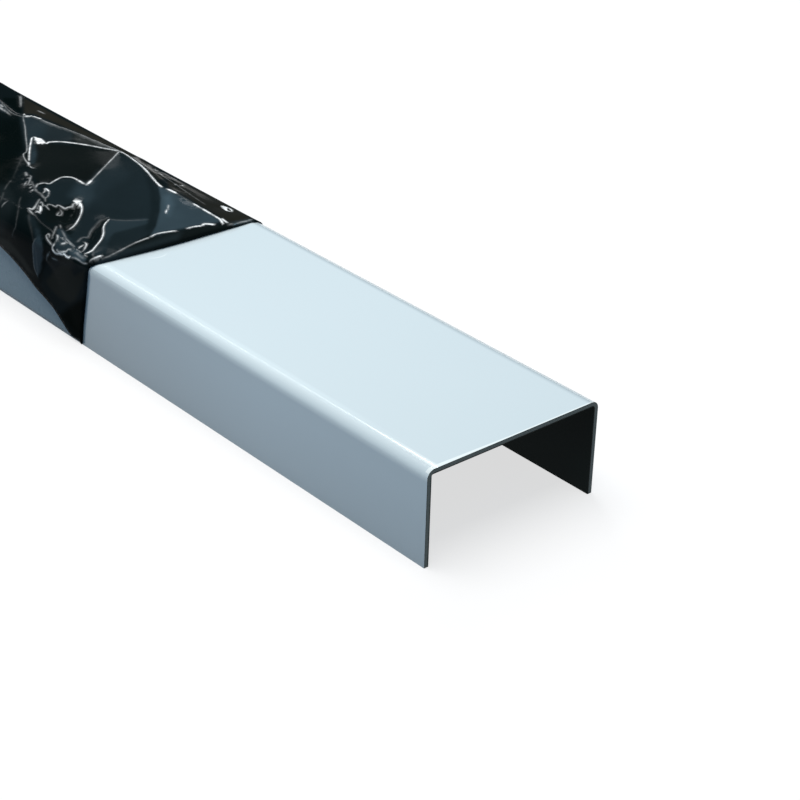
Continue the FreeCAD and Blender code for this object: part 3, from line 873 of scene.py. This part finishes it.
def painted(points):
    # painted reflections at each point, from the tones
    blueReflection, brownReflection = np.full(len(points), plainBlueReflection), np.zeros(len(points))
    for blueReflectionHere, brownReflectionHere, soft, outline in tones.values():
        share = covered(points, outline, soft)
        blueReflection += (blueReflectionHere - blueReflection) * share
        brownReflection += (brownReflectionHere - brownReflection) * share
    return blueReflection, brownReflection


def searchTree(points):
    tree = kdtree.KDTree(len(points))
    for i, p in enumerate(points):
        tree.insert((p[0], p[1], 0), i)
    tree.balance()
    return tree


def farFrom(tree, points, least):
    keep = [tree.find((p[0], p[1], 0))[2] > least for p in points]
    return points[np.array(keep, bool)]


def railPoints(lines, tree):
    rails = []
    for line in lines:
        along = np.gradient(line[:, :2], axis=0)
        along /= np.linalg.norm(along, axis=1)[:, None] + tiny
        sideways = np.stack([-along[:, 1], along[:, 0]], axis=1)
        for gap in filmSettings["rails"]:
            for side in (-1, 1):
                beside = line[:, :2] + sideways * gap * side
                rails.append(farFrom(tree, beside, gap * filmSettings["railClear"]))
    return np.vstack(rails)


def spreadPoints(low, high, tree):
    points = []
    for spacing in (filmSettings["fineSpacing"], filmSettings["spacing"]):
        rowGap = spacing * math.sqrt(3) / 2
        grid = []
        for r, y in enumerate(np.arange(low[1], high[1], rowGap)):
            x = np.arange(low[0] + (r % 2) * spacing / 2, high[0], spacing)
            grid.append(np.stack([x, 0 * x + y], axis=1))
        grid = np.vstack(grid)
        seen = pictureOf(offChannel(grid[:, 0], grid[:, 1], bendLift))
        fine = nearness(seen, crumples) > filmSettings["fineFrom"]
        grid = grid[fine if spacing == filmSettings["fineSpacing"] else ~fine]
        points.append(farFrom(tree, grid, spacing * filmSettings["pointClear"]))
    return np.vstack(points)


def settled(lifts, fixed, pairs, stiffness):
    # heights at rest of a skin held at the fixed points, by conjugate gradients
    a, b = pairs.T

    def pull(h):
        flow = stiffness * (h[a] - h[b])
        out = np.bincount(a, flow, len(h)) - np.bincount(b, flow, len(h))
        out[fixed] = 0
        return out

    h = lifts.copy()
    left = -pull(h)
    step = left.copy()
    size = left @ left
    for turn in range(filmSettings["settleTurns"]):
        pulled = pull(step)
        amount = size / (step @ pulled)
        h += amount * step
        left -= amount * pulled
        newSize = left @ left
        if newSize < tiny:
            break
        step = left + step * (newSize / size)
        size = newSize
    return h


def evened(lifts, fixed, pairs):
    a, b = pairs.T
    count = np.bincount(a, minlength=len(lifts)) + np.bincount(b, minlength=len(lifts))
    for turn in range(filmSettings["evenPasses"]):
        total = np.bincount(a, lifts[b], len(lifts)) + np.bincount(b, lifts[a], len(lifts))
        lifts = np.where(fixed, lifts, 0.5 * lifts + 0.5 * (total / np.maximum(count, 1)))
    return lifts


def looseOutline(frontRow):
    step = filmSettings["outlineStep"]
    near = [tuple(frontRow[0])] + fromPicture(nearEdge) + nearEdgeRear + [backEdge[0]]
    near = throughPoints(near, step)
    back = throughPoints(backEdge + [farEdge[0]], step)
    far = throughPoints(farEdge + [tuple(frontRow[-1])], step)
    return np.vstack([near[:-1], back[:-1], far[:-1], frontRow[::-1][:-1]])


def creaseLines():
    lines, bright, width = [], [], []
    for group, inPicture in ((creases, True), (unseenCreases, False)):
        for shine, half, points in group.values():
            line = throughPoints(fromPicture(points) if inPicture else points, filmSettings["creaseStep"])
            start, stop = shine if isinstance(shine, tuple) else (shine, shine)
            order = np.arange(len(line))
            fade = np.clip(np.minimum(order + 1, len(line) - order) / filmSettings["creaseFade"], 0, 1)
            bright += list(np.linspace(start, stop, len(line)) * fade)
            width += [half] * len(line)
            lines.append(line)
    return lines, bright, width


def dipLines():
    seen = [fromPicture(points) for points in dips.values()]
    return [throughPoints(points, filmSettings["dipStep"]) for points in seen + list(unseenDips.values())]


def looseHeights(flat, faces, known, heights, outlineCount):
    # known lists the given points that each corner comes from
    lifts = np.full(len(flat), filmSettings["firstLift"])
    fixed = np.zeros(len(flat), bool)
    edge = np.zeros(len(flat), bool)
    for i, sources in enumerate(known):
        if sources:
            lifts[i] = np.mean(heights[sources])
            fixed[i] = True
            edge[i] = any(s < outlineCount for s in sources)
    pairs = np.array(sorted({tuple(sorted((f[k], f[k - 1]))) for f in faces for k in range(len(f))}))
    gap = np.linalg.norm(flat[pairs[:, 0]] - flat[pairs[:, 1]], axis=1)
    lifts = settled(lifts, fixed, pairs, 1 / np.maximum(gap, filmSettings["leastGap"]))
    return evened(lifts, edge, pairs)


def looseSheet(frontRow):
    # the part that lies folded back: its corners as (x, across, lift), its faces, and how bright
    # each corner's painted crease highlight is
    outline = looseOutline(frontRow)
    creased, bright, width = creaseLines()
    lines = creased + dipLines()
    given = np.vstack([outline] + lines)
    edges = []
    start = len(outline)
    for line in lines:
        edges += [(start + k, start + k + 1) for k in range(len(line) - 1)]
        start += len(line)
    taken = np.vstack([given[:, :2], railPoints(creased, searchTree(given))])
    rest = spreadPoints(outline[:, :2].min(axis=0), outline[:, :2].max(axis=0), searchTree(taken))
    places = [Vector(p) for p in np.vstack([taken, rest])]
    border = [list(range(len(outline)))]
    insideOnly = 1
    made = geometry.delaunay_2d_cdt(places, edges, border, insideOnly, filmSettings["joinGap"])
    verts, faces, origin = made[0], made[2], made[3]
    flat = np.array([tuple(v) for v in verts])
    known = [[s for s in sources if s < len(given)] for sources in origin]
    lifts = looseHeights(flat, faces, known, given[:, 2], len(outline))
    creaseTree = searchTree(np.vstack(creased))
    shines = np.zeros(len(flat))
    for i, p in enumerate(flat):
        for _, k, away in creaseTree.find_range((p[0], p[1], 0), filmSettings["shineReach"]):
            shines[i] = max(shines[i], bright[k] * math.exp(-(away / width[k]) ** 2))
    print("loose film:", len(flat), "corners, heights", lifts.min().round(2), "to", lifts.max().round(2))
    return np.column_stack([flat, np.maximum(lifts, filmSettings["leastLift"])]), faces, shines


def makeFilmMesh():
    across, nose, radius = foldStations()
    stuck, faces = stuckSheet(across, nose, radius)
    loose, looseFaces, shines = looseSheet(stuck[-1])
    stuckCount = stuck.shape[0] * stuck.shape[1]
    measures = np.vstack([stuck.reshape(-1, 3), loose])
    faces = faces + [tuple(stuckCount + k for k in reversed(f)) for f in looseFaces]
    places = offChannel(*measures.T)
    mesh = bpy.data.meshes.new("protectiveFilm")
    mesh.from_pydata([tuple(p * mm) for p in places], [], faces)
    seen = pictureOf(places)
    # painted highlights where the crease lines leave gaps
    for bright, soft, outline in flashes.values():
        shines = np.maximum(shines, bright * covered(seen[stuckCount:], outline, soft))
    flatPart = np.zeros(stuckCount)
    # painted reflections, kept as attributes
    blueReflection, brownReflection = painted(seen)
    values = {
        "shine": np.concatenate([flatPart, shines]),
        "crumple": np.concatenate([flatPart, nearness(seen[stuckCount:], crumples)]),
        "blueReflection": blueReflection,
        "brownReflection": brownReflection,
        "along": measures[:, 0] * mm,
        "across": measures[:, 1] * mm,
    }
    for name, value in values.items():
        attribute = mesh.attributes.new(name, "FLOAT", "POINT")
        attribute.data.foreach_set("value", value.astype(np.float32))
    bm = bmesh.new()
    bm.from_mesh(mesh)
    bmesh.ops.remove_doubles(bm, verts=bm.verts, dist=filmSettings["weldGap"] * mm)
    bm.to_mesh(mesh)
    bm.free()
    mesh.shade_smooth()
    return mesh


def namedAttribute(tree, name):
    node = addNode(tree, "GeometryNodeInputNamedAttribute", {"data_type": "FLOAT"}, {"Name": name})
    return node.outputs["Attribute"]


def wrinkleTree(material):
    # geometry nodes that raise small wrinkles where the film is crumpled
    tree = bpy.data.node_groups.new("filmWrinkles", "GeometryNodeTree")
    face = tree.interface
    face.new_socket("Film", in_out="INPUT", socket_type="NodeSocketGeometry")
    for name, value in filmSettings["wrinkles"].items():
        face.new_socket(name, in_out="INPUT", socket_type="NodeSocketFloat").default_value = value
    face.new_socket("Film", in_out="OUTPUT", socket_type="NodeSocketGeometry")
    entry = tree.nodes.new("NodeGroupInput").outputs
    normal = tree.nodes.new("GeometryNodeInputNormal").outputs[0]
    place = tree.nodes.new("GeometryNodeInputPosition").outputs[0]
    total = 0.0
    for height, scale in (("Height", "Scale"), ("Fine Height", "Fine Scale")):
        inputs = {"Vector": place, "W": entry["Seed"], "Scale": entry[scale]}
        inputs["Detail"] = filmSettings["wrinkleDetail"]
        bumps = addNode(tree, "ShaderNodeTexNoise", {"noise_dimensions": "4D"}, inputs).outputs[0]
        ridges = absolute(tree, minus(tree, bumps, 0.5))  # sharp where the noise passes its middle
        total = calc(tree, "ADD", total, times(tree, ridges, entry[height], filmSettings["wrinkleGain"]))
    lifted = times(tree, total, namedAttribute(tree, "crumple"), -mm)
    offset = vectorCalc(tree, "SCALE", {0: normal, "Scale": lifted})
    moved = addNode(tree, "GeometryNodeSetPosition", None, {"Geometry": entry["Film"], "Offset": offset})
    real = addNode(tree, "GeometryNodeRealizeInstances", None, {0: moved.outputs[0]}).outputs[0]
    finish = addNode(tree, "GeometryNodeSetMaterial", None, {"Geometry": real, "Material": material})
    tree.links.new(finish.outputs[0], tree.nodes.new("NodeGroupOutput").inputs[0])
    return tree


def makeFilm():
    outer, inner = makeOuterSideMaterial(), makeAdhesiveSideMaterial()
    film = bpy.data.objects.new("film", makeFilmMesh())
    bpy.context.scene.collection.objects.link(film)
    film.data.materials.append(outer)
    wrinkles = film.modifiers.new("wrinkles", "NODES")
    wrinkles.node_group = wrinkleTree(outer)
    items = wrinkles.node_group.interface.items_tree
    sockets = {item.name: item.identifier for item in items if item.in_out == "INPUT"}
    for name, value in filmSettings["wrinkles"].items():
        wrinkles[sockets[name]] = value
    wrinkled = bpy.data.meshes.new_from_object(film.evaluated_get(bpy.context.evaluated_depsgraph_get()))
    film.modifiers.remove(wrinkles)
    film.data = wrinkled
    film.data.materials.clear()
    film.data.materials.append(outer)
    film.data.materials.append(inner)
    thick = film.modifiers.new("thickness", "SOLIDIFY")
    thick.thickness = filmSettings["thickness"] * mm
    thick.offset = 0
    thick.material_offset = 1
    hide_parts("protective_film")
    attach(film, "root")
    print("film made")


# Looks of the film's two sides

filmFinish = {
    "outer": (0.25, 0.345, 0.395),
    "outerShades": ((0.93, 0.93, 0.94), (1.07, 1.06, 1.05)),
    "outerNoise": (22.0, 3.0),
    "outerFineNoise": (260.0, 2.0),
    "outerRoughness": (0.2, 0.8, 0.24, 0.34),  # by that noise
    "outerBump": (0.04, 0.2),
    "outerIor": 1.25,
    "adhesive": (0.0010, 0.0030, 0.0027),
    # colours of the painted reflections: blue-grey, and brown
    "blueReflection": (0.049, 0.079, 0.099),
    "brownReflection": (0.028, 0.026, 0.020),
    # colour of the painted highlights along the creases
    "creaseHighlight": (0.95, 0.97, 0.98),
    "patchNoise": (45.0, 3.0),
    "patches": (0.3, 0.7, 0.8, 1.1),  # of the painted reflections, by that noise
    "breakNoise": (420.0, 2.0),
    "breaks": (0.38, 0.56, 0.75, 1.4),  # of the creases' painted highlights
    "fineNoise": (900.0, 2.0),
    "roughness": (0.3, 0.7, 0.12, 0.18),
    "bump": (0.03, 0.1),
    "ior": 1.035,
    "reflectionGloss": 0.1,  # coat where the blue-grey reflection is painted
    "crumpleGloss": 0.45,  # and where the film is crumpled
    "glossRoughness": 0.1,
    "glossIor": 1.45,
}


def attributeValue(tree, name):
    return addNode(tree, "ShaderNodeAttribute", {"attribute_name": name}).outputs["Fac"]


def makeOuterSideMaterial():
    finish = filmFinish
    material, tree = newMaterial("filmOuterSide")
    place = objectPlace(tree)
    cloud = noise(tree, place, *finish["outerNoise"])
    fine = noise(tree, place, *finish["outerFineNoise"])
    principled(tree, {
        "Base Color": shadesOf(tree, cloud, finish["outer"], finish["outerShades"]),
        "Roughness": remap(tree, fine, *finish["outerRoughness"]),
        "IOR": finish["outerIor"],
        "Normal": bumped(tree, *finish["outerBump"], cloud),
    })
    return material


def makeAdhesiveSideMaterial():
    finish = filmFinish
    material, tree = newMaterial("filmAdhesiveSide")
    place = objectPlace(tree)
    cloud = noise(tree, place, *finish["patchNoise"])
    patches = remap(tree, cloud, *finish["patches"])
    # painted reflections, broken up into patches
    blueReflection = times(tree, attributeValue(tree, "blueReflection"), patches)
    brownReflection = times(tree, attributeValue(tree, "brownReflection"), patches)
    base = mixColour(tree, brownReflection, (*finish["adhesive"], 1), (*finish["brownReflection"], 1))
    reflected = mixColour(tree, blueReflection, base, (*finish["blueReflection"], 1))
    # painted highlights along the creases, broken up by noise
    breaks = remap(tree, noise(tree, place, *finish["breakNoise"]), *finish["breaks"])
    shine = calc(tree, "MULTIPLY", attributeValue(tree, "shine"), breaks, clamp=True)
    fine = noise(tree, place, *finish["fineNoise"])
    normal = bumped(tree, *finish["bump"], cloud)
    crumpled = times(tree, attributeValue(tree, "crumple"), finish["crumpleGloss"])
    principled(tree, {
        "Base Color": mixColour(tree, shine, reflected, (*finish["creaseHighlight"], 1)),
        "Roughness": remap(tree, fine, *finish["roughness"]),
        "IOR": finish["ior"],
        "Normal": normal,
        "Coat Weight": calc(tree, "ADD", times(tree, blueReflection, finish["reflectionGloss"]), crumpled),
        "Coat Roughness": finish["glossRoughness"],
        "Coat IOR": finish["glossIor"],
        "Coat Normal": normal,
    })
    return material


makeCamera()
makeWorld()
makeFloor()
makeLamps()
bpy.context.scene.view_settings.view_transform = "Standard"

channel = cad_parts["channel_section"]
channel.data.materials.clear()
channel.data.materials.append(makeChannelMaterial())
makeFilm()
